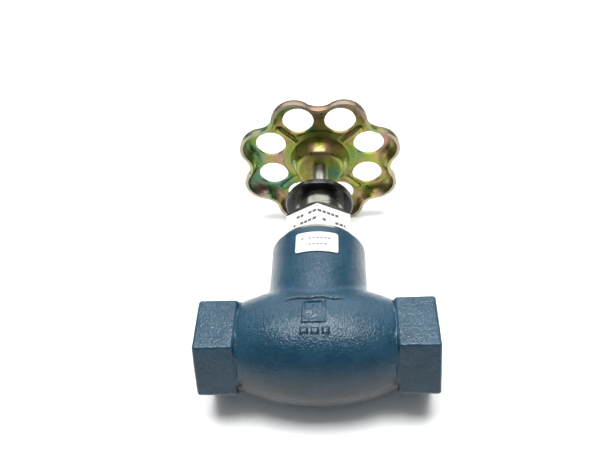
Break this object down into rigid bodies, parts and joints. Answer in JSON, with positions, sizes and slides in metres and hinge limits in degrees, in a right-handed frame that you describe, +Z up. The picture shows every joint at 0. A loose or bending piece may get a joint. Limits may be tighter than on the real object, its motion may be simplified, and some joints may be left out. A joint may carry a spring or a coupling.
{
  "type": "flow control valve",
  "caption": "Threaded globe-pattern flow control valve with hexagon ends, a rising stem and a scalloped stamped handwheel that turns to throttle the flow.",
  "frame": {"origin": "where the pipe-run axis meets the stem axis, at the middle of the body", "axes": "+X along the pipe run from inlet to outlet, +Z up along the stem towards the handwheel, -Y out of the front with the labels"},
  "size_m": [0.097, 0.085, 0.1414],
  "materials": {
    "body": "gloss",
    "bonnet_steel": "polished",
    "stem_steel": "satin",
    "plug_steel": "satin",
    "bronze": "satin",
    "packing": "matte",
    "gasket": "matte",
    "seal_rubber": "matte",
    "black_disc": "gloss",
    "zinc_dichromate": "satin",
    "wheel_fasteners": "satin",
    "label_paper": "matte"
  },
  "bodies": {
    "valve": {"valve_body": "body", "seat_ring": "bronze", "bonnet_gasket": "gasket", "bonnet": "bonnet_steel", "stem_bush": "bronze", "packing_washer": "bronze", "packing_rings": "packing", "gland_follower": "bronze", "gland_nut": "bonnet_steel", "stem_wiper": "seal_rubber", "dust_disc": "black_disc", "retaining_ring": "stem_steel", "neck_label": "label_paper", "bonnet_label": "label_paper"},
    "plug": {"plug_holder": "plug_steel", "thrust_washer": "plug_steel", "swivel_nut": "plug_steel", "seat_disc": "seal_rubber", "throttle_cone": "plug_steel", "plug_washer": "plug_steel", "plug_nut": "plug_steel"},
    "wheel": {"stem": "stem_steel", "handwheel": "zinc_dichromate", "wheel_washer": "wheel_fasteners", "spring_washer": "wheel_fasteners", "wheel_nut": "wheel_fasteners"}
  },
  "joints": [
    {"name": "plug_lift", "type": "slide", "parent": "valve", "child": "plug", "axis": [0, 0, 1], "range_m": [0, 0.009]},
    {"name": "wheel_turn", "type": "hinge", "parent": "plug", "child": "wheel", "pos_m": [0, 0, 0.0905], "axis": [0, 0, 1], "range_deg": [0, 1620]}
  ],
  "couplings": [
    {"joint": "plug_lift", "follows": "wheel_turn", "m_per_rad": 0.00031831}
  ]
}
